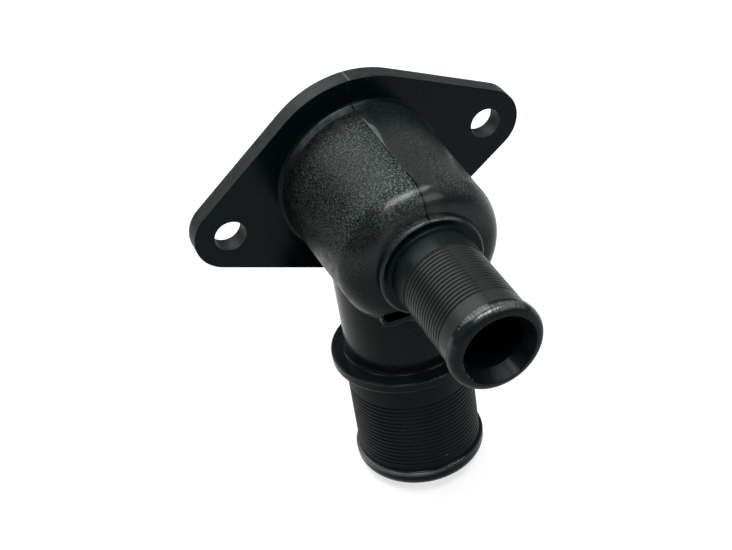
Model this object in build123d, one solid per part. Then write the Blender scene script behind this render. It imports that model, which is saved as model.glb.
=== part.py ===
from build123d import *
import math
import os

# Coolant flange: a moulded water outlet with a two-bolt flange, a round chamber,
# a small hose spigot straight ahead and a large hose spigot leading down.
# Millimetres. The origin is where the chamber's axis meets the sealing face,
# +Y points out of the sealing face, the chamber stands along -Y and +Z is up.

# Flange plate
bolt_spacing = 76.0
bolt_line_turn = 6.5
bolt_line_drop = 0.6
bolt_hole_radius = 4.4
lug_radius = 9.8
flange_thickness = 5.4
flange_arc_radius = 29.2
flange_arc_rise = 0.4
plate_edge_rounding = 0.25

# Chamber body
body_radius = 22.3
body_taper = 0.028
body_length = 48.4
shoulder_rounding = 7.5
body_foot_rounding = 1.2
front_wall = 3.4
side_wall = 2.9
chamber_corner_rounding = 9.0

# Raised ring round the foot of the front spigot
ring_radius = 13.95
ring_length = 50.2
ring_edge_rounding = 0.7

# Front spigot
front_root_radius = 11.3
front_root_length = 57.2
front_root_rounding = 0.8
front_tube_radius = 11.15
front_length = 84.5
front_bead_start = 80.9
front_bead_radius = 11.88
front_bead_rounding = 2.3
front_bore_radius = 7.6
front_mouth_radius = 9.35
front_mouth_depth = 3.65
front_groove_start = 57.7
front_groove_pitch = 1.2

# Down spigot, measured along its own leaning axis
pipe_axis_depth = 21.6
pipe_lean = 5.0
neck_top_radius = 16.84
neck_radius = 16.5
collar_start = 42.2
collar_thickness = 2.9
collar_radius = 20.7
collar_edge_rounding = 0.5
collar_foot_rounding = 0.9
pipe_tube_radius = 17.45
pipe_length = 81.4
pipe_bead_start = 76.3
pipe_bead_radius = 18.4
pipe_bead_rounding = 3.3
pipe_bore_top_radius = 13.9
pipe_bore_mouth_radius = 14.8
pipe_groove_start = 53.5
pipe_groove_pitch = 1.333
junction_rounding = 0.8

# Rounding where a hose bead or a collar meets its tube, and on its sharp corners
small_rounding = 0.3
bead_corner_rounding = 0.5
mouth_edge_rounding = 0.15

# Hose grip grooves
groove_count = 16
groove_width = 0.5
groove_depth = 0.3

# Block under the ring, flat in front, with the slot that saves material above its lip
block_half_width = 13.8
block_top = 11.5
block_bottom = 16.5
block_corner_rounding = 2.8
block_edge_rounding = 0.3
block_front = 47.2
block_back = 34.0
slot_half_width = 13.2
slot_top = 11.1
slot_bottom = 14.8
slot_lower_rounding = 2.2
slot_upper_rounding = 0.9
slot_floor = 45.2
slot_inner_radius = 13.6

# Seal ring and its groove in the sealing face
seal_mean_radius = 24.3
seal_groove_width = 3.4
seal_groove_depth = 2.5
seal_width = 3.2
seal_height = 2.45
seal_rounding = 1.1


def turned(corners):
    """Solid of revolution about Y; a corner is (radius, distance from the sealing face, rounding)."""
    points = [(radius, -distance) for radius, distance, rounding in corners]
    roundings = [rounding for radius, distance, rounding in corners]
    outline = FilletPolyline(*points, radius=roundings, close=True)
    return revolve(make_face(outline.edges()), axis=Axis.Y)


def on_pipe_axis(solid):
    """Puts a solid turned about Y on the down spigot's leaning axis."""
    return Pos(0, -pipe_axis_depth, 0) * Rot(90 - pipe_lean, 0, 0) * solid


def groove_corners(radius, start, pitch):
    """Corners of a row of V grooves round a tube, from its root towards its mouth."""
    half = groove_width / 2
    corners = []
    for number in range(groove_count):
        middle = start + number * pitch
        corners.append((radius, middle - half, 0))
        corners.append((radius - groove_depth, middle, 0))
        corners.append((radius, middle + half, 0))
    return corners


def flange_plate():
    """Plate between the hull of the middle arc and the two lugs, with its bolt holes."""
    line = Pos(0, -bolt_line_drop) * Rot(0, 0, bolt_line_turn)
    places = [line * Pos(side * bolt_spacing / 2, 0) for side in (-1, 1)]
    rounds = [Pos(0, flange_arc_rise) * Circle(flange_arc_radius)]
    rounds += [place * Circle(lug_radius) for place in places]
    outline = make_hull([edge for circle in rounds for edge in circle.edges()])
    plate = extrude(Plane.XZ * outline, flange_thickness)
    plate = fillet(plate.faces().filter_by(Axis.Y).edges(), plate_edge_rounding)
    for place in places:
        plate -= extrude(Plane.XZ * place * Circle(bolt_hole_radius), flange_thickness)
    return plate


def chamber_outside():
    """Tapered round body with its foot on the plate and its rounded shoulder."""
    front_radius = body_radius - body_taper * (body_length - flange_thickness)
    foot_radius = body_radius + 2 * body_foot_rounding
    return turned(
        [
            (0, 0, 0),
            (foot_radius, 0, 0),
            (foot_radius, flange_thickness, 0),
            (body_radius, flange_thickness, body_foot_rounding),
            (front_radius, body_length, shoulder_rounding),
            (0, body_length, 0),
        ]
    )


def front_spigot():
    """Ring, root, grooved tube and bead of the small spigot."""
    inside = body_length - front_wall
    outline = [
        (0, inside, 0),
        (ring_radius, inside, 0),
        (ring_radius, ring_length, ring_edge_rounding),
        (front_root_radius, ring_length, front_root_rounding),
        (front_root_radius, front_root_length, 0),
        (front_tube_radius, front_root_length, 0),
    ]
    outline += groove_corners(front_tube_radius, front_groove_start, front_groove_pitch)
    outline += [
        (front_tube_radius, front_bead_start, small_rounding),
        (front_bead_radius, front_bead_start, bead_corner_rounding / 2),
        (front_bead_radius, front_length, front_bead_rounding),
        (0, front_length, 0),
    ]
    return turned(outline)


def down_spigot():
    """Neck, collar, grooved tube and bead of the large spigot."""
    collar_end = collar_start + collar_thickness
    outline = [
        (0, 0, 0),
        (neck_top_radius, 0, 0),
        (neck_radius, collar_start, collar_foot_rounding),
        (collar_radius, collar_start, collar_edge_rounding),
        (collar_radius, collar_end, collar_edge_rounding),
        (pipe_tube_radius, collar_end, small_rounding),
    ]
    outline += groove_corners(pipe_tube_radius, pipe_groove_start, pipe_groove_pitch)
    outline += [
        (pipe_tube_radius, pipe_bead_start, small_rounding),
        (pipe_bead_radius, pipe_bead_start, bead_corner_rounding),
        (pipe_bead_radius, pipe_length, pipe_bead_rounding),
        (0, pipe_length, 0),
    ]
    return on_pipe_axis(turned(outline))


def bar_along_body(half_width, top, bottom, roundings, back, front):
    """Bar under the body's axis; the roundings are of its two lower and its two upper edges."""
    section = Pos(0, -(top + bottom) / 2) * Rectangle(2 * half_width, bottom - top)
    for rounding, row in zip(roundings, (0, -1)):
        section = fillet(section.vertices().group_by(Axis.Y)[row], rounding)
    return Pos(0, -back, 0) * extrude(Plane.XZ * section, front - back)


def block():
    """Block in the corner between shoulder and neck; only its front and lower corners stand out."""
    solid = bar_along_body(
        block_half_width, block_top, block_bottom, [block_corner_rounding], block_back, block_front
    )
    front_edges = solid.faces().sort_by(Axis.Y)[0].edges().sort_by(Axis.Z)[:-1]
    return fillet(front_edges, block_edge_rounding)


def lip_clearance():
    """Space in front of the block's lip, where the shoulder is cut level with the lip."""
    return bar_along_body(block_half_width, slot_bottom, body_radius, [], block_front, ring_length)


def slot():
    """Slot in the shoulder under the ring, kept outside the ring's own root."""
    bar = bar_along_body(
        slot_half_width,
        slot_top,
        slot_bottom,
        [slot_lower_rounding, slot_upper_rounding],
        slot_floor,
        ring_length,
    )
    root = turned(
        [
            (0, body_length - front_wall, 0),
            (slot_inner_radius, body_length - front_wall, 0),
            (slot_inner_radius, ring_length, 0),
            (0, ring_length, 0),
        ]
    )
    return bar - root


def chamber_hollow():
    """Inside of the chamber, open at the sealing face, with its rounded end."""
    mouth_radius = body_radius - side_wall
    length = body_length - front_wall
    return turned(
        [
            (0, 0, 0),
            (mouth_radius, 0, 0),
            (mouth_radius - body_taper * length, length, chamber_corner_rounding),
            (0, length, 0),
        ]
    )


def front_bore():
    """Bore of the small spigot, flared towards its mouth."""
    inner_end = body_length - front_wall - chamber_corner_rounding
    return turned(
        [
            (0, inner_end, 0),
            (front_bore_radius, inner_end, 0),
            (front_bore_radius, front_length - front_mouth_depth, 0),
            (front_mouth_radius, front_length, 0),
            (0, front_length, 0),
        ]
    )


def pipe_bore():
    """Bore of the large spigot, a little wider towards its mouth."""
    return on_pipe_axis(
        turned(
            [
                (0, 0, 0),
                (pipe_bore_top_radius, 0, 0),
                (pipe_bore_mouth_radius, pipe_length, 0),
                (0, pipe_length, 0),
            ]
        )
    )


def seal_groove():
    """Groove round the chamber's mouth in the sealing face."""
    inner = seal_mean_radius - seal_groove_width / 2
    outer = seal_mean_radius + seal_groove_width / 2
    return turned(
        [
            (inner, 0, 0),
            (outer, 0, 0),
            (outer, seal_groove_depth, small_rounding),
            (inner, seal_groove_depth, small_rounding),
        ]
    )


def mouth_rim(moulding):
    """Edge between the small spigot's flare and its end face."""
    circles = moulding.edges().filter_by(GeomType.CIRCLE)
    return min(circles, key=lambda edge: abs(edge.radius - front_mouth_radius))


def flange_body():
    """The one-piece moulding."""
    moulding = flange_plate() + chamber_outside() + down_spigot()
    moulding = fillet(moulding.edges().filter_by(GeomType.BSPLINE), junction_rounding)
    moulding = moulding + block() - lip_clearance() - slot() + front_spigot()
    moulding -= chamber_hollow() + front_bore() + pipe_bore()
    moulding = fillet(mouth_rim(moulding), mouth_edge_rounding)
    return moulding - seal_groove()


def seal_ring():
    """Rubber ring pressed flush into the groove of the sealing face."""
    inner = seal_mean_radius - seal_width / 2
    outer = seal_mean_radius + seal_width / 2
    top = seal_groove_depth - seal_height
    return turned(
        [
            (inner, top, seal_rounding),
            (outer, top, seal_rounding),
            (outer, seal_groove_depth, seal_rounding),
            (inner, seal_groove_depth, seal_rounding),
        ]
    )


os.makedirs("parts", exist_ok=True)
export_step(flange_body(), "parts/flange_body.step")
export_step(seal_ring(), "parts/seal_ring.step")
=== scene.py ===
import bpy
import math
from mathutils import Euler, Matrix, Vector


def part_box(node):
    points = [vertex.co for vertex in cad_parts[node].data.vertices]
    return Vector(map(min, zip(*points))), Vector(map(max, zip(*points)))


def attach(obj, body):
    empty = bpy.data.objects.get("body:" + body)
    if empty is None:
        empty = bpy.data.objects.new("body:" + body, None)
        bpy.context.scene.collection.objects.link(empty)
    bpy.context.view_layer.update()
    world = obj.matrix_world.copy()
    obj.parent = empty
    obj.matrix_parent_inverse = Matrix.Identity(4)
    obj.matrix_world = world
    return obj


# Coolant flange, dressed for the picture: moulded nylon, parting ridges and flash, rubber seal, floor,
# light and camera. Lengths are written in millimetres and become metres where they are used.

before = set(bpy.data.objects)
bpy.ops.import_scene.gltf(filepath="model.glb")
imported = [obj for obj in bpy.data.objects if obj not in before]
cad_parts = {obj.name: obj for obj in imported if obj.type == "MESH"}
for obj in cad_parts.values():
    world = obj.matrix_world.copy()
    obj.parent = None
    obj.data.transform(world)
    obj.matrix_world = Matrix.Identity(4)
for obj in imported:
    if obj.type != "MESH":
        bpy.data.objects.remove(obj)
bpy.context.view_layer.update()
mm = 0.001
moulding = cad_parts["flange_body"]
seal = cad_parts["seal_ring"]

# Sizes of the moulding, as in the part. Its depth is measured from the sealing face along the chamber,
# and the large spigot's along its own leaning axis.
plate_thickness = 5.4
body_radius = 22.3
body_taper = 0.028
body_length = 48.4
shoulder_rounding = 7.5
root_radius = 11.3
tube_radius = 11.15
grooves_end = 76.2
flare_start = 80.85
spigot_length = 84.5
pipe_axis_depth = 21.6
pipe_lean = 5.0
pipe_radius = 17.45
collar_start = 42.2
collar_end = 45.1

# Camera, solved from the photo's edges
camera_place = (-94.7, -278.42, 197.75)
camera_turn = (51.087, 5.941, -23.516)
camera_lens = 64.36
camera_sensor = 36.0

# Light and floor
lamp_aim = Vector((0, -35, -15))
lamp_distance = 700
room_light = 0.12
floor_half_width = 4000
floor_gap = 0.2
floor_grey = 0.3
floor_glow = 0.7

# Borders that two or more zones share, each a smooth step from its start to its end
bead_border = (80.7, 81.0)
collar_border = (42.3, 42.7)

# Marks drawn over the small bead: weakest and strongest polish
weak_score = 0.9
strong_score = 3.2

# Ridges of flash: length of one step, and how much of the full size is left at an end
ridge_step = 0.25
ridge_tip = 0.04


class Nodes:
    """Adds and joins nodes in one tree."""

    def __init__(self, tree):
        self.tree = tree

    def add(self, kind, **settings):
        node = self.tree.nodes.new(kind)
        for key, value in settings.items():
            setattr(node, key, value)
        return node

    def join(self, out, into):
        self.tree.links.new(out, into)

    def put(self, socket, value):
        """Joins a socket, or sets a plain value."""
        if isinstance(value, bpy.types.NodeSocket):
            self.join(value, socket)
        else:
            socket.default_value = value

    def math(self, operation, first, second=0.0, third=0.0, clamp=False):
        node = self.add("ShaderNodeMath", operation=operation, use_clamp=clamp)
        for socket, value in zip(node.inputs, (first, second, third)):
            self.put(socket, value)
        return node.outputs[0]

    def both(self, *masks):
        """Product of masks."""
        result = masks[0]
        for mask in masks[1:]:
            result = self.math("MULTIPLY", result, mask)
        return result

    def most(self, *masks):
        """Greatest of masks."""
        result = masks[0]
        for mask in masks[1:]:
            result = self.math("MAXIMUM", result, mask)
        return result

    def rest(self, mask):
        """What a mask leaves out."""
        return self.math("SUBTRACT", 1.0, mask)

    def distance(self, value, middle):
        """How far a value is from a middle."""
        return self.math("ABSOLUTE", self.math("SUBTRACT", value, middle))

    def vector(self, operation, first, second=None, scale=None):
        node = self.add("ShaderNodeVectorMath", operation=operation)
        self.put(node.inputs[0], first)
        if second is not None:
            self.put(node.inputs[1], second)
        if scale is not None:
            self.put(node.inputs["Scale"], scale)
        return node.outputs["Value" if operation in ("DOT_PRODUCT", "LENGTH") else "Vector"]

    def pair(self, first, second):
        """Vector of two numbers."""
        node = self.add("ShaderNodeCombineXYZ")
        self.join(first, node.inputs[0])
        self.join(second, node.inputs[1])
        return node.outputs[0]

    def ramp(self, value, low, high, start=0.0, end=1.0):
        """Smooth step from start at the value low to end at the value high; low may be the higher one."""
        node = self.add("ShaderNodeMapRange", interpolation_type="SMOOTHSTEP")
        self.put(node.inputs["Value"], value)
        node.inputs["From Min"].default_value = low
        node.inputs["From Max"].default_value = high
        node.inputs["To Min"].default_value = start
        node.inputs["To Max"].default_value = end
        return node.outputs["Result"]

    def span(self, value, rise, fall):
        """1 between a smooth rise and a smooth fall, each given from where it starts to where it ends."""
        return self.both(self.ramp(value, rise[0], rise[1]), self.ramp(value, fall[1], fall[0]))

    def noise(self, vector, scale, detail=2.0, roughness=0.5, distortion=0.0):
        node = self.add("ShaderNodeTexNoise")
        self.put(node.inputs["Vector"], vector)
        node.inputs["Scale"].default_value = scale
        node.inputs["Detail"].default_value = detail
        node.inputs["Roughness"].default_value = roughness
        node.inputs["Distortion"].default_value = distortion
        return node.outputs["Fac"]

    def mix(self, mask, first, second):
        """Number that goes from the first to the second as the mask goes from 0 to 1."""
        node = self.add("ShaderNodeMix", data_type="FLOAT")
        self.put(node.inputs["Factor"], mask)
        self.put(node.inputs[2], first)
        self.put(node.inputs[3], second)
        return node.outputs[0]

    def blend(self, mask, first, second):
        """Colour that goes from the first to the second as the mask goes from 0 to 1."""
        node = self.add("ShaderNodeMix", data_type="RGBA")
        self.put(node.inputs["Factor"], mask)
        self.put(node.inputs[6], first)
        self.put(node.inputs[7], second)
        return node.outputs[2]


def camera():
    """Camera at the photograph's viewpoint."""
    lens = bpy.data.cameras.new("camera")
    lens.lens = camera_lens
    lens.sensor_width = camera_sensor
    lens.sensor_fit = "HORIZONTAL"
    lens.clip_start = 0.01
    holder = bpy.data.objects.new("camera", lens)
    holder.location = Vector(camera_place) * mm
    holder.rotation_euler = Euler([math.radians(a) for a in camera_turn], "XYZ")
    bpy.context.scene.collection.objects.link(holder)
    bpy.context.scene.camera = holder


def lamp(name, bearing, height, width, depth, radiance):
    """Soft lamp aimed at the flange from a bearing, counted from the front towards +X, and a height."""
    a = math.radians(bearing)
    e = math.radians(height)
    away = Vector((math.sin(a) * math.cos(e), -math.cos(a) * math.cos(e), math.sin(e)))
    light = bpy.data.lights.new(name, "AREA")
    light.shape = "RECTANGLE"
    light.size = width * mm
    light.size_y = depth * mm
    light.energy = math.pi * light.size * light.size_y * radiance
    holder = bpy.data.objects.new(name, light)
    holder.location = (lamp_aim + away * lamp_distance) * mm
    holder.rotation_euler = (-away).to_track_quat("-Z", "Y").to_euler()
    bpy.context.scene.collection.objects.link(holder)


def group(name, work_out):
    """Shader group that turns the place in the part into the named values of a function."""
    tree = bpy.data.node_groups.new(name, "ShaderNodeTree")
    tree.interface.new_socket("Place", in_out="INPUT", socket_type="NodeSocketVector")
    n = Nodes(tree)
    values = work_out(n, n.add("NodeGroupInput").outputs["Place"])
    for label in values:
        tree.interface.new_socket(label, in_out="OUTPUT", socket_type="NodeSocketFloat")
    end = n.add("NodeGroupOutput")
    for label, value in values.items():
        n.join(value, end.inputs[label])
    return tree


def spark_grain(n, place):
    """Spark-eroded mould skin: pits of two sizes, pale bloom in clouds, a fine fleck and single specks."""
    pits = n.noise(place, 1500, 3.0, 0.62)
    dents = n.noise(place, 700, 2.0, 0.5)
    return {
        "Height": n.math("MULTIPLY_ADD", dents, 0.35, pits),
        "Bloom": n.ramp(n.noise(place, 480, 4.0, 0.6, 0.2), 0.34, 0.66),
        "Fleck": n.ramp(n.noise(place, 2300, 1.0, 0.6), 0.44, 0.68),
        "Speck": n.ramp(n.noise(place, 1100, 1.0, 0.5), 0.73, 0.78),
    }


class Spot:
    """Where a point of the moulding lies, in millimetres: round the chamber's axis and along the pipe."""

    def __init__(self, n, raw):
        self.raw = raw
        place = n.vector("SCALE", raw, scale=1000.0)
        split = n.add("ShaderNodeSeparateXYZ")
        n.join(place, split.inputs[0])
        self.x, y, self.z = split.outputs
        self.depth = n.math("MULTIPLY", y, -1.0)
        squares = n.math("ADD", n.math("MULTIPLY", self.x, self.x), n.math("MULTIPLY", self.z, self.z))
        self.radius = n.math("SQRT", squares)
        self.angle = n.math("ARCTAN2", self.x, self.z)
        lean = math.radians(pipe_lean)
        down = (0, -math.sin(lean), -math.cos(lean))
        off = n.vector("SUBTRACT", place, (0, -pipe_axis_depth, 0))
        self.along = n.vector("DOT_PRODUCT", off, down)
        self.pipe_distance = n.vector("LENGTH", n.vector("CROSS_PRODUCT", off, down))


def insides(n, at):
    """Insides of chamber, spigots and slot together, which the colour darkens as painted shade, and the
    small bore alone.
    """
    hollow = n.both(n.ramp(at.radius, 20.1, 19.8), n.ramp(at.depth, 43.4, 43.1))
    end_wall = n.both(n.ramp(at.radius, 13.5, 13.2), n.ramp(at.depth, 45.6, 45.1))
    small = n.both(n.ramp(at.radius, 9.5, 9.35), n.ramp(at.depth, 44.0, 44.5))
    large = n.both(n.ramp(at.pipe_distance, 15.6, 15.2), n.ramp(at.along, 20.0, 22.0))
    slot_height = n.span(at.z, (-14.95, -14.75), (-11.1, -10.9))
    slot_depth = n.span(at.depth, (45.0, 45.15), (46.7, 47.15))
    slot = n.both(slot_height, slot_depth, n.ramp(at.radius, 13.3, 13.5))
    return n.most(hollow, end_wall, small, large, slot), small


def mouth(n, at, small):
    """Conical mouth, and the streaks that the core left in it."""
    flare = n.both(small, n.ramp(at.depth, flare_start - 0.3, flare_start + 0.1))
    around = n.pair(n.math("MULTIPLY", at.angle, 5.0), n.math("MULTIPLY", at.depth, 0.03))
    streaks = n.ramp(n.noise(around, 1.7, 3.0, 0.65), 0.42, 0.66)
    bright_streak = n.ramp(n.distance(at.angle, math.radians(155)), 0.12, 0.03)
    return flare, n.both(flare, n.most(n.math("MULTIPLY", streaks, 0.06), bright_streak))


def scores(n, at):
    """Fine marks drawn lengthwise over the small bead."""
    drawn = n.pair(n.math("MULTIPLY", at.angle, 14.0), n.math("MULTIPLY", at.depth, 0.25))
    return n.ramp(n.noise(drawn, 1.5, 3.0, 0.65), 0.36, 0.62, weak_score, strong_score)


def polished_edges(n, at, scored, shown):
    """Edges polished by the mould: shoulder, ring and both beads."""
    lobe = n.both(n.ramp(at.radius, 14.3, 14.6), n.ramp(at.depth, 43.0, 44.5), n.ramp(at.z, 0.0, 8.0))
    ring = n.both(n.span(at.depth, (49.0, 49.4), (50.3, 50.6)), n.ramp(at.radius, 13.1, 13.3))
    small_bead = n.both(n.span(at.depth, bead_border, (83.2, 84.2)), n.ramp(at.z, 1.0, 6.0), scored)
    large_bead = n.both(n.span(at.along, (75.9, 76.3), (76.9, 77.5)), n.ramp(at.x, 1.0, -6.0, 1.0, 3.0))
    return n.both(n.most(lobe, ring, small_bead, large_bead), shown)


def foot_arc(n, at):
    """Painted highlight: light arc round the upper left of the chamber's foot."""
    turn = n.span(
        at.angle,
        (math.radians(-70), math.radians(-35)),
        (math.radians(-8), math.radians(12)),
    )
    return n.both(n.span(at.depth, (5.6, 6.2), (7.6, 9.0)), turn)


def chamber_skin(n, at, arc, shown):
    """Skin of chamber, shoulder and neck, with its grain and bloom, fainter past the parting line, and
    painted light and shade: lighter towards the parting line and the shoulder, darker lower down, at the
    shoulder's ends and round the foot.
    """
    body = n.both(
        n.ramp(at.radius, 13.3, 13.6),
        n.span(at.depth, (5.45, 6.5), (49.7, 50.1)),
        n.ramp(at.along, collar_border[1], collar_border[0]),
        shown,
        n.rest(arc),
    )
    low = n.ramp(at.z, -19.0, -21.0)
    upper_left = n.both(n.ramp(at.x, 0.35, -0.35), n.rest(low))
    lower_left = n.both(n.ramp(at.x, 8.0, -14.0), low)
    left = n.math("ADD", upper_left, lower_left)
    far_right = n.ramp(at.x, 2.0, 9.0, 0.15, 0.6)
    # Painted shade: grain and bloom fade lower down and on the pipe below the collar's top.
    turned_away = n.both(
        n.ramp(at.z, -24.0, 0.0, 0.16, 1.0),
        n.ramp(at.along, 42.1, 41.9, 0.4, 1.0),
    )
    # Painted light: grain brighter towards the parting line and the shoulder, weaker near the foot.
    lit = n.both(
        n.ramp(at.x, -15.0, -1.5, 0.7, 1.12),
        n.ramp(at.depth, 29.0, 41.0, 1.0, 1.45),
        n.ramp(at.depth, 9.0, 16.0, 0.75, 1.0),
    )
    # Painted shade: darker at the shoulder's right and left ends, on the right of the foot and round the
    # whole foot.
    right_end = n.both(n.ramp(at.x, 2.0, 6.0), n.ramp(at.depth, 45.0, 47.5), 0.7)
    left_end = n.both(n.ramp(at.x, -9.0, -13.0), n.ramp(at.depth, 42.0, 44.5), 0.65)
    right_foot = n.both(n.ramp(at.x, -0.5, 3.0), n.ramp(at.depth, 27.0, 12.0), 0.65)
    whole_foot = n.both(n.ramp(at.depth, 14.0, 9.5), 0.55)
    dim = n.rest(n.most(right_end, left_end, right_foot, whole_foot))
    front = n.ramp(at.depth, 48.2, 46.0, 0.4, 1.0)
    return {
        # Chamber colour fades into the plate's near black lower down and where dim is: painted shade.
        "Chamber": n.both(body, dim, n.ramp(at.z, -17.0, 5.0)),
        "GrainAndPaintedLight": n.both(body, n.most(left, far_right), turned_away, lit, dim, front),
        "BloomAndPaintedShade": n.both(body, left, turned_away, n.ramp(at.depth, 45.0, 42.5)),
    }


def satin_parts(n, at, flare, hidden, shown):
    """Small spigot, its lighter tube, the collar's foot, the plate's rim, and all that is matt."""
    tube = n.span(at.depth, (56.8, 57.4), bead_border)
    band = n.ramp(at.depth, 76.2, 76.7, 0.72, 1.0)
    pipe = n.both(n.span(at.along, (45.0, 45.3), (75.8, 76.2)), shown)
    plate_edge = n.span(at.depth, (0.0, 0.25), (plate_thickness - 0.2, plate_thickness))
    rim = n.both(plate_edge, n.ramp(at.radius, 26.4, 26.8))
    corner = n.both(n.ramp(at.radius, 12.4, 12.1), n.span(at.depth, (50.0, 50.15), (51.1, 51.3)))
    inner = n.both(hidden, n.math("MULTIPLY_ADD", flare, 0.5, 1.0), 0.6)
    bead_side = n.both(n.ramp(at.depth, *bead_border), n.ramp(at.z, 4.0, -2.0), shown, 0.7)
    return {
        "Spigot": n.both(n.ramp(at.depth, 50.7, 52.6), shown),
        "Tube": n.both(tube, band, shown),
        "Collar": n.both(n.span(at.along, (36.5, 41.5), collar_border), shown),
        "Rim": rim,
        "Matt": n.most(pipe, rim, corner, inner, bead_side),
    }


def painted_edge_highlights(n, at, arc, scored, shown):
    """Painted highlights on edges: ring, collar, chamber's foot, lip under the slot, large bead and small
    bead's crown, broken up by noise.
    """
    around_ring = n.both(
        n.span(at.radius, (13.3, 13.45), (13.9, 14.0)),
        n.ramp(at.depth, 49.45, 49.6),
        n.ramp(at.z, 9.5, 13.7, 0.2, 0.95),
    )
    upper_collar = n.both(
        n.ramp(at.pipe_distance, 20.1, 20.3),
        n.span(at.along, (42.0, 42.1), (42.55, 42.75)),
        0.9,
    )
    lower_collar = n.both(n.ramp(at.pipe_distance, 20.3, 20.45), n.ramp(at.along, 44.6, 44.8), 0.3)
    collar_foot = n.both(n.span(at.along, (41.5, 41.7), (41.9, 42.1)), n.ramp(at.x, -10.0, -5.0), 0.5)
    lip = n.both(
        n.span(at.depth, (46.85, 46.95), (47.25, 47.35)),
        n.ramp(at.z, -12.0, -13.0),
        n.most(n.ramp(at.z, -16.1, -16.3), n.ramp(at.x, -13.4, -13.6)),
    )
    edge_glints = n.most(around_ring, upper_collar, lower_collar, collar_foot, lip, n.math("MULTIPLY", arc, 0.6))
    broken = n.ramp(n.noise(at.raw, 400, 2.0, 0.6), 0.3, 0.6, 0.45, 1.0)
    large_bead = n.both(
        n.ramp(at.pipe_distance, 17.8, 18.0),
        n.span(at.along, (76.1, 76.25), (76.7, 77.0)),
        n.ramp(at.x, 1.0, -6.0, 0.25, 1.0),
        n.ramp(at.x, -18.0, -13.0, 0.4, 1.0),
    )
    crown = n.both(
        n.ramp(n.distance(at.angle, 0.1), 0.7, 0.35),
        n.span(at.depth, (81.6, 82.6), (83.6, 84.1)),
        n.ramp(scored, weak_score, strong_score, 0.4, 1.0),
    )
    return n.both(n.most(n.both(edge_glints, broken), crown, large_bead), shown)


def groove_shade(n, at, shown):
    """Painted shade at the bottom of the grip grooves, weaker past the parting line."""
    small_row = n.both(
        n.ramp(at.radius, tube_radius - 0.05, tube_radius - 0.2),
        n.span(at.depth, (57.3, 57.5), (75.9, 76.2)),
    )
    large_row = n.both(
        n.ramp(at.pipe_distance, pipe_radius - 0.05, pipe_radius - 0.2),
        n.span(at.along, (53.1, 53.3), (73.7, 73.9)),
    )
    return n.both(n.most(small_row, large_row), shown, n.ramp(at.x, -0.4, 1.2, 1.0, 0.35))


def parting_line(n, at, shown):
    """Line in the middle plane: dark on the chamber's foot and shoulder, faint and patchy between."""
    middle = n.ramp(at.depth, 36.0, 47.0, 0.0, 0.35)
    patchy = n.ramp(n.noise(at.raw, 260, 2.0, 0.5), 0.4, 0.6, 0.2, 1.0)
    foot = n.ramp(at.depth, 9.0, 7.0)
    shoulder = n.ramp(at.depth, 37.0, 40.0)
    return n.both(
        n.ramp(n.distance(at.x, middle), 0.3, 0.16),
        n.most(foot, shoulder, n.math("MULTIPLY", patchy, 0.45)),
        n.ramp(at.depth, 50.4, 50.2, 0.25, 1.0),
        n.ramp(at.z, -19.0, -17.0, 0.2, 1.0),
        n.ramp(at.depth, plate_thickness - 0.15, plate_thickness - 0.05),
        shown,
    )


def rim_line(n, at):
    """Pale line where the parting line crosses the plate's edge."""
    return n.both(
        n.ramp(at.radius, 28.9, 29.2),
        n.ramp(at.z, 20.0, 24.0),
        n.ramp(at.depth, plate_thickness, plate_thickness - 0.2),
        n.ramp(n.distance(at.x, 0.4), 0.3, 0.12),
        0.6,
    )


def moulding_zones(n, place):
    """Masks of the moulding's parts, worked out from the place in the part."""
    at = Spot(n, place)
    hidden, small = insides(n, at)
    shown = n.rest(hidden)
    flare, streaks = mouth(n, at, small)
    scored = scores(n, at)
    arc = foot_arc(n, at)
    return {
        "Inside": hidden,
        "Flare": streaks,
        "Polished": polished_edges(n, at, scored, shown),
        "Edge": painted_edge_highlights(n, at, arc, scored, shown),
        "Groove": groove_shade(n, at, shown),
        "Seam": parting_line(n, at, shown),
        "Pale": rim_line(n, at),
        **chamber_skin(n, at, arc, shown),
        **satin_parts(n, at, flare, hidden, shown),
    }


def material(name):
    """New material; gives it with its helper and its Principled surface."""
    mat = bpy.data.materials.new(name)
    mat.use_nodes = True
    return mat, Nodes(mat.node_tree), mat.node_tree.nodes["Principled BSDF"]


def values_at(n, tree, place):
    """Values of a group at a place."""
    node = n.add("ShaderNodeGroup", node_tree=tree)
    n.join(place, node.inputs["Place"])
    return node.outputs


def emboss(n, surface, height, strength, distance):
    """Bump from a height; strength runs from 0 to 1, distance is the depth of its relief."""
    bump = n.add("ShaderNodeBump")
    bump.inputs["Strength"].default_value = strength
    bump.inputs["Distance"].default_value = distance * mm
    n.join(height, bump.inputs["Height"])
    n.join(bump.outputs[0], surface.inputs["Normal"])


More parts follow.
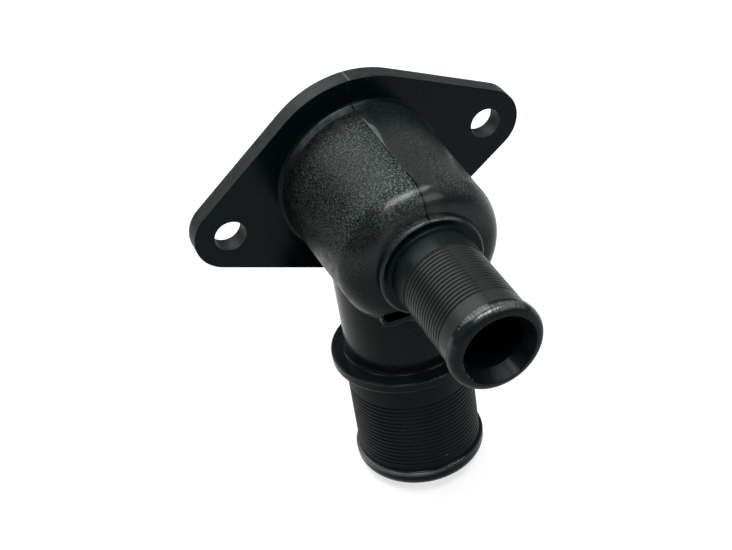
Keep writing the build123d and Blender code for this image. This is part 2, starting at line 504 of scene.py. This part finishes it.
def nylon_colour(n, place, skin, zone):
    """Colour of the moulding, laid part over part from the plate's near black, with painted highlights on
    edges, painted shade in grooves and insides, and painted light and shade on the chamber.
    """
    cloud = n.ramp(n.noise(place, 60, 3.0, 0.55), 0.3, 0.7)
    colour = n.blend(cloud, (0.0006, 0.002, 0.0029, 1), (0.0011, 0.0029, 0.004, 1))
    spigot = n.blend(cloud, (0.0035, 0.0055, 0.006, 1), (0.0055, 0.0075, 0.0075, 1))
    colour = n.blend(zone["Spigot"], colour, spigot)
    colour = n.blend(zone["Tube"], colour, (0.0155, 0.0185, 0.017, 1))
    # Painted highlights on the edges of ring, collar, foot and lip and on both beads.
    colour = n.blend(zone["Edge"], colour, (0.055, 0.062, 0.06, 1))
    rim = n.blend(skin["Bloom"], (0.011, 0.0135, 0.013, 1), (0.0155, 0.019, 0.0175, 1))
    colour = n.blend(zone["Rim"], colour, rim)
    chamber = n.blend(cloud, (0.0095, 0.012, 0.0115, 1), (0.013, 0.0155, 0.0145, 1))
    colour = n.blend(zone["Chamber"], colour, chamber)
    bloom = n.blend(skin["Bloom"], (0.001, 0.0022, 0.0022, 1), (0.0045, 0.0062, 0.0052, 1))
    colour = n.blend(zone["BloomAndPaintedShade"], colour, bloom)
    colour = n.blend(zone["Collar"], colour, (0.004, 0.0068, 0.007, 1))
    # Pale fleck of the grain, made stronger by the painted light of the grain mask towards the parting
    # line and the shoulder.
    fleck = n.both(skin["Fleck"], zone["GrainAndPaintedLight"], 0.6)
    colour = n.blend(fleck, colour, (0.058, 0.069, 0.06, 1))
    colour = n.blend(n.math("MULTIPLY", skin["Speck"], 0.6), colour, (0.03, 0.033, 0.032, 1))
    # Painted shade in the bottoms of the grip grooves.
    colour = n.blend(zone["Groove"], colour, (0.0008, 0.001, 0.001, 1))
    # Painted shade inside the chamber, bores and slot.
    colour = n.blend(zone["Inside"], colour, (0.0006, 0.0014, 0.002, 1))
    colour = n.blend(zone["Flare"], colour, (0.016, 0.02, 0.022, 1))
    colour = n.blend(n.math("MULTIPLY", zone["Seam"], 0.9), colour, (0.0008, 0.0008, 0.0008, 1))
    return n.blend(zone["Pale"], colour, (0.075, 0.08, 0.078, 1))


def nylon_roughness(n, place, skin, zone):
    """Satin, duller on spigot and chamber, duller still where bloomed, and matt on the pipe and inside."""
    gloss = n.ramp(n.noise(place, 420, 3.0, 0.6), 0.3, 0.7, 0.15, 0.22)
    dull = n.ramp(n.noise(place, 500, 2.0, 0.6), 0.3, 0.7, 0.27, 0.34)
    bloomed = n.ramp(skin["Bloom"], 0.0, 1.0, 0.32, 0.44)
    matt = n.ramp(skin["Fleck"], 0.0, 1.0, 0.45, 0.55)
    soft = n.math("SUBTRACT", n.most(zone["Spigot"], zone["Chamber"]), zone["Polished"], clamp=True)
    rough = n.mix(zone["BloomAndPaintedShade"], n.mix(soft, gloss, dull), bloomed)
    return n.mix(zone["Matt"], rough, matt)


def nylon(grain, zones):
    """Black glass-filled nylon: grained on one mould half, satin elsewhere, painted near black inside as
    shade, with painted highlights on edges and painted light on the chamber.
    """
    mat, n, surface = material("black_nylon")
    place = n.add("ShaderNodeTexCoord").outputs["Object"]
    skin = values_at(n, grain, place)
    zone = values_at(n, zones, place)
    n.join(nylon_colour(n, place, skin, zone), surface.inputs["Base Color"])
    n.join(nylon_roughness(n, place, skin, zone), surface.inputs["Roughness"])
    surface.inputs["Specular IOR Level"].default_value = 0.072
    surface.inputs["Specular Tint"].default_value = (0.86, 1.0, 0.98, 1)
    n.join(n.math("MULTIPLY", zone["Polished"], 0.2), surface.inputs["Coat Weight"])
    surface.inputs["Coat Roughness"].default_value = 0.2
    grained = n.math("MULTIPLY", skin["Height"], n.math("MULTIPLY_ADD", zone["GrainAndPaintedLight"], 0.9, 0.1))
    height = n.math("MULTIPLY_ADD", zone["Seam"], -1.2, grained)
    emboss(n, surface, height, strength=0.7, distance=0.09)
    return mat


def plain_skin(name, grain, dark, light, smooth, rough, specular):
    """Plain mottled material between two colours and two roughnesses."""
    mat, n, surface = material(name)
    skin = values_at(n, grain, n.add("ShaderNodeTexCoord").outputs["Object"])
    n.join(n.blend(skin["Bloom"], dark, light), surface.inputs["Base Color"])
    n.join(n.ramp(skin["Fleck"], 0.0, 1.0, smooth, rough), surface.inputs["Roughness"])
    surface.inputs["Specular IOR Level"].default_value = specular
    emboss(n, surface, skin["Height"], strength=0.3, distance=0.02)
    return mat


def trimmed_nylon(name, grain, dark, light):
    """Paler nylon where flash was torn or trimmed away."""
    return plain_skin(name, grain, dark, light, smooth=0.35, rough=0.5, specular=0.1)


def rubber(grain):
    """Matt black rubber of the seal ring."""
    dark = (0.008, 0.008, 0.008, 1)
    light = (0.014, 0.014, 0.0135, 1)
    return plain_skin("seal_rubber", grain, dark, light, smooth=0.6, rough=0.8, specular=0.2)


def seen_directly(n):
    """1 for what the camera sees, also in a mirror or through glass."""
    path = n.add("ShaderNodeLightPath").outputs
    return n.most(path["Is Camera Ray"], path["Is Glossy Ray"], path["Is Transmission Ray"])


def surroundings():
    """Soft even light of the room."""
    world = bpy.data.worlds.new("studio")
    bpy.context.scene.world = world
    world.use_nodes = True
    back = world.node_tree.nodes["Background"]
    back.inputs["Color"].default_value = (1, 1, 1, 1)
    back.inputs["Strength"].default_value = room_light


def floor():
    """White floor under the flange, which keeps the shadow."""
    reach = floor_half_width * mm
    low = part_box("flange_body")[0][2] - floor_gap * mm
    corners = [(x * reach, y * reach, low) for x, y in ((-1, -1), (1, -1), (1, 1), (-1, 1))]
    mesh = bpy.data.meshes.new("floor")
    mesh.from_pydata(corners, [], [(0, 1, 2, 3)])
    sheet = bpy.data.objects.new("floor", mesh)
    bpy.context.scene.collection.objects.link(sheet)
    mat, n, surface = material("white_floor")
    surface.inputs["Base Color"].default_value = (floor_grey, floor_grey, floor_grey, 1)
    surface.inputs["Roughness"].default_value = 0.9
    surface.inputs["Specular IOR Level"].default_value = 0.0
    surface.inputs["Emission Color"].default_value = (1, 1, 1, 1)
    n.join(n.math("MULTIPLY", seen_directly(n), floor_glow), surface.inputs["Emission Strength"])
    mesh.materials.append(mat)


def shape_tree(name, inputs):
    """Geometry tree with named inputs; gives the tree, its helper and what it is given."""
    tree = bpy.data.node_groups.new(name, "GeometryNodeTree")
    for label, kind in inputs:
        tree.interface.new_socket(label, in_out="INPUT", socket_type="NodeSocket" + kind)
    tree.interface.new_socket("Shape", in_out="OUTPUT", socket_type="NodeSocketGeometry")
    n = Nodes(tree)
    return tree, n, n.add("NodeGroupInput").outputs


def close_tree(n, geometry, finish):
    """Ends a geometry tree with real geometry in its finish."""
    real = n.add("GeometryNodeRealizeInstances")
    n.join(geometry, real.inputs["Geometry"])
    dressed = n.add("GeometryNodeSetMaterial")
    n.join(real.outputs[0], dressed.inputs["Geometry"])
    n.join(finish, dressed.inputs["Material"])
    n.join(dressed.outputs[0], n.add("NodeGroupOutput").inputs[0])


def ridge_size(n, given, place):
    """Size of a ridge along its path: uneven, and thin at its ends or swelling in its middle."""
    factor = n.add("GeometryNodeSplineParameter").outputs["Factor"]
    wave = n.ramp(n.noise(n.vector("ADD", place, given["Seed"]), 700, 2.0, 0.6), 0.3, 0.7)
    uneven = n.rest(n.math("MULTIPLY", given["Unevenness"], wave))
    ends = n.ramp(n.math("MINIMUM", factor, n.rest(factor)), 0.0, 0.1, ridge_tip, 1.0)
    bulge = n.add("ShaderNodeFloatCurve")
    n.join(factor, bulge.inputs["Value"])
    points = bulge.mapping.curves[0].points
    points[0].location = (0.0, ridge_tip)
    points[1].location = (1.0, ridge_tip)
    for spot in ((0.2, 0.35), (0.47, 1.0), (0.62, 0.75), (0.8, 0.3)):
        points.new(*spot)
    bulge.mapping.update()
    return n.math("MULTIPLY", n.mix(given["Swell"], ends, bulge.outputs[0]), uneven)


def ridge_tree():
    """Geometry tree: a low ridge or a thin flap along a path."""
    tree, n, given = shape_tree(
        "moulding_ridge",
        [
            ("Path", "Geometry"),
            ("Half Width", "Float"),
            ("Thickness", "Float"),
            ("One Side", "Float"),
            ("Swell", "Float"),
            ("Unevenness", "Float"),
            ("Step", "Float"),
            ("Seed", "Float"),
            ("Sideways", "Vector"),
            ("Finish", "Material"),
        ],
    )
    line = n.add("GeometryNodeMeshToCurve")
    n.join(given["Path"], line.inputs["Mesh"])
    even = n.add("GeometryNodeResampleCurve", mode="LENGTH")
    n.join(line.outputs[0], even.inputs["Curve"])
    n.join(given["Step"], even.inputs["Length"])
    place = n.add("GeometryNodeInputPosition").outputs[0]
    keep = n.add("GeometryNodeCaptureAttribute")
    keep.capture_items.new("VECTOR", "Middle")
    keep.capture_items.new("FLOAT", "Size")
    n.join(even.outputs[0], keep.inputs["Geometry"])
    n.join(place, keep.inputs["Middle"])
    n.join(ridge_size(n, given, place), keep.inputs["Size"])
    ring = n.add("GeometryNodeCurvePrimitiveCircle")
    ring.inputs["Resolution"].default_value = 8
    n.join(given["Half Width"], ring.inputs["Radius"])
    skin = n.add("GeometryNodeCurveToMesh")
    n.join(keep.outputs["Geometry"], skin.inputs["Curve"])
    n.join(ring.outputs["Curve"], skin.inputs["Profile Curve"])
    skin.inputs["Fill Caps"].default_value = True
    middle = keep.outputs["Middle"]
    size = keep.outputs["Size"]
    away = n.vector("SUBTRACT", place, middle)
    side = n.vector("DOT_PRODUCT", away, given["Sideways"])
    reach = n.math("MULTIPLY_ADD", given["One Side"], given["Half Width"], side)
    across = n.vector("SCALE", given["Sideways"], scale=n.math("MULTIPLY", reach, size))
    flat = n.vector("SCALE", given["Sideways"], scale=side)
    low = n.math("DIVIDE", given["Thickness"], given["Half Width"])
    upright = n.vector("SCALE", n.vector("SUBTRACT", away, flat), scale=n.math("MULTIPLY", low, size))
    put = n.add("GeometryNodeSetPosition")
    n.join(skin.outputs[0], put.inputs["Geometry"])
    n.join(n.vector("ADD", n.vector("ADD", middle, across), upright), put.inputs["Position"])
    close_tree(n, put.outputs[0], given["Finish"])
    return tree


def burr_tree():
    """Geometry tree: small torn bits of flash scattered along a path."""
    tree, n, given = shape_tree(
        "scattered_burrs",
        [
            ("Path", "Geometry"),
            ("Count", "Int"),
            ("Size", "Float"),
            ("Scatter", "Float"),
            ("Seed", "Int"),
            ("Finish", "Material"),
        ],
    )
    line = n.add("GeometryNodeMeshToCurve")
    n.join(given["Path"], line.inputs["Mesh"])
    spots = n.add("GeometryNodeCurveToPoints", mode="COUNT")
    n.join(line.outputs[0], spots.inputs["Curve"])
    n.join(given["Count"], spots.inputs["Count"])
    shift = n.add("FunctionNodeRandomValue", data_type="FLOAT_VECTOR")
    shift.inputs[0].default_value = (-1, -1, -1)
    n.join(given["Seed"], shift.inputs["Seed"])
    put = n.add("GeometryNodeSetPosition")
    n.join(spots.outputs["Points"], put.inputs["Geometry"])
    n.join(n.vector("SCALE", shift.outputs[0], scale=given["Scatter"]), put.inputs["Offset"])
    bit = n.add("GeometryNodeMeshIcoSphere")
    bit.inputs["Subdivisions"].default_value = 2
    n.join(given["Size"], bit.inputs["Radius"])
    size = n.add("FunctionNodeRandomValue", data_type="FLOAT_VECTOR")
    size.inputs[0].default_value = (0.35, 0.35, 0.35)
    size.inputs[1].default_value = (1.0, 1.0, 1.0)
    n.join(n.math("ADD", given["Seed"], 5.0), size.inputs["Seed"])
    laid = n.add("GeometryNodeInstanceOnPoints")
    n.join(put.outputs[0], laid.inputs["Points"])
    n.join(bit.outputs["Mesh"], laid.inputs["Instance"])
    n.join(spots.outputs["Rotation"], laid.inputs["Rotation"])
    n.join(size.outputs[0], laid.inputs["Scale"])
    close_tree(n, laid.outputs[0], given["Finish"])
    return tree


def grown(name, points, tree, values):
    """Runs a geometry tree along a path and keeps the result as a plain piece of the moulding."""
    path = bpy.data.meshes.new(name + "_path")
    path.from_pydata([Vector(p) * mm for p in points], [(i, i + 1) for i in range(len(points) - 1)], [])
    holder = bpy.data.objects.new(name + "_path", path)
    bpy.context.scene.collection.objects.link(holder)
    modifier = holder.modifiers.new("shape", "NODES")
    modifier.node_group = tree
    names = {item.name: item.identifier for item in tree.interface.items_tree if item.in_out == "INPUT"}
    for label, value in values.items():
        modifier[names[label]] = value
    evaluated = holder.evaluated_get(bpy.context.evaluated_depsgraph_get())
    mesh = bpy.data.meshes.new_from_object(evaluated)
    bpy.data.objects.remove(holder)
    mesh.name = name
    piece = bpy.data.objects.new(name, mesh)
    bpy.context.scene.collection.objects.link(piece)
    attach(piece, "root")


def ridge(
    name,
    points,
    half_width,
    thickness,
    finish,
    one_side=0.0,
    swell=0.0,
    unevenness=0.5,
    seed=0.0,
    sideways=(1.0, 0.0, 0.0),
):
    """Ridge or flap along a path; one_side 1 puts all of its width on one side."""
    values = {
        "Half Width": half_width * mm,
        "Thickness": thickness * mm,
        "One Side": one_side,
        "Swell": swell,
        "Unevenness": unevenness,
        "Step": ridge_step * mm,
        "Seed": seed,
        "Sideways": sideways,
        "Finish": finish,
    }
    grown(name, points, ridges, values)


def burrs(name, points, finish, count, size, scatter, seed):
    """Scatter of torn bits along a path."""
    values = {"Count": count, "Size": size * mm, "Scatter": scatter * mm, "Seed": seed, "Finish": finish}
    grown(name, points, bits, values)


def outside(depth):
    """Radius of the chamber's outside at a distance from the sealing face, over taper and shoulder."""
    rise = math.hypot(1.0, body_taper)
    centre = body_length - shoulder_rounding
    if depth < centre + shoulder_rounding * body_taper / rise:
        return body_radius - body_taper * (depth - plate_thickness)
    wall = body_radius - body_taper * (centre - plate_thickness) - shoulder_rounding * rise
    return wall + math.sqrt(shoulder_rounding**2 - (depth - centre) ** 2)


def over_chamber(first, last, side=0.0):
    """Path along the chamber's top between two distances from the sealing face."""
    steps = 24
    depths = [first + (last - first) * i / steps for i in range(steps + 1)]
    return [(side, -depth, outside(depth)) for depth in depths]


def on_pipe(along, radius, turn=0.0):
    """Place on the leaning pipe, turned in degrees from its front towards +X."""
    lean = math.radians(pipe_lean)
    a = math.radians(turn)
    forward = along * math.sin(lean) + radius * math.cos(a) * math.cos(lean)
    drop = along * math.cos(lean) - radius * math.cos(a) * math.sin(lean)
    return (radius * math.sin(a), -pipe_axis_depth - forward, -drop)


def on_spigot(depth, radius, turn):
    """Place on the small spigot, turned in degrees from its top towards +X."""
    a = math.radians(turn)
    return (radius * math.sin(a), -depth, radius * math.cos(a))


def parting_ridges(finish, trimmed, torn):
    """Parting ridge over plate, chamber and spigots, the flap of flash, and the tick on the small bead."""
    plate = [(0.15, -plate_thickness, z) for z in (28.6, 26.0, 24.2)]
    ridge("parting_ridge_plate", plate, 0.1, 0.06, finish, seed=0.1)
    ridge("parting_ridge_chamber", over_chamber(7.5, 40.0, 0.02), 0.09, 0.05, finish, seed=0.2)
    shoulder = over_chamber(40.0, 48.2, 0.2)
    ridge("parting_ridge_shoulder", shoulder, 0.1, 0.06, finish, unevenness=0.7, seed=0.3)
    flap = over_chamber(10.5, 29.0, 0.05)
    ridge("trimmed_flash", flap, 0.75, 0.08, trimmed, one_side=1.0, swell=1.0, unevenness=0.12, seed=0.4)
    root = [on_spigot(depth, root_radius, 0.0) for depth in (51.2, 53.0, 55.0, 57.0)]
    ridge("parting_ridge_root", root, 0.09, 0.06, finish, unevenness=0.8, seed=0.5)
    band = [on_spigot(depth, tube_radius, 0.0) for depth in (grooves_end, 78.0, 80.3)]
    ridge("parting_ridge_band", band, 0.08, 0.05, finish, unevenness=0.8, seed=0.6)
    pipe = [on_pipe(along, pipe_radius) for along in (collar_end + 0.6, 49.0, 53.0)]
    ridge("parting_ridge_pipe", pipe, 0.09, 0.05, finish, unevenness=0.8, seed=0.7)
    tick_turn = -46.0
    over_bead = ((81.4, 11.86), (82.4, 11.8), (83.4, 11.42), (84.1, 10.75))
    tick = [on_spigot(depth, radius, tick_turn) for depth, radius in over_bead]
    a = math.radians(tick_turn)
    ridge("bead_tick", tick, 0.12, 0.07, torn, seed=0.8, sideways=(math.cos(a), 0.0, -math.sin(a)))


def torn_bits(finish):
    """Small burrs: dots on the parting line, bits round the mouth, and a few on collar and pipe."""
    burrs("seam_burrs", over_chamber(31.0, 37.5), finish, count=4, size=0.16, scatter=0.06, seed=3)
    rim = [on_spigot(spigot_length - 0.28, 9.2, turn) for turn in range(-128, -84, 4)]
    burrs("mouth_burrs", rim, finish, count=9, size=0.17, scatter=0.08, seed=7)
    collar = [on_pipe(collar_start + 0.2, 20.55, turn) for turn in (-4.6, -3.0)]
    burrs("collar_burrs", collar, finish, count=2, size=0.22, scatter=0.05, seed=2)
    nick = [on_pipe(72.6, pipe_radius, turn) for turn in (2.0, 3.6)]
    burrs("pipe_burrs", nick, finish, count=3, size=0.2, scatter=0.08, seed=5)


grain = group("spark_grain", spark_grain)
zones = group("moulding_zones", moulding_zones)
skin = nylon(grain, zones)
trimmed = trimmed_nylon("trimmed_nylon", grain, (0.03, 0.036, 0.033, 1), (0.048, 0.055, 0.05, 1))
torn = trimmed_nylon("torn_nylon", grain, (0.07, 0.078, 0.074, 1), (0.11, 0.12, 0.115, 1))
moulding.data.materials[0] = skin
seal.data.materials[0] = rubber(grain)
ridges = ridge_tree()
bits = burr_tree()
parting_ridges(skin, trimmed, torn)
torn_bits(torn)

camera()
lamp("overhead", bearing=-20, height=70, width=400, depth=240, radiance=17.5)
lamp("overhead_middle", bearing=20, height=70, width=180, depth=200, radiance=12.5)
lamp("overhead_right", bearing=56, height=62, width=220, depth=140, radiance=13.0)
lamp("back", bearing=200, height=50, width=620, depth=620, radiance=5.0)
lamp("front_right", bearing=30, height=32, width=250, depth=250, radiance=5.0)
surroundings()
floor()
bpy.context.scene.view_settings.view_transform = "Standard"
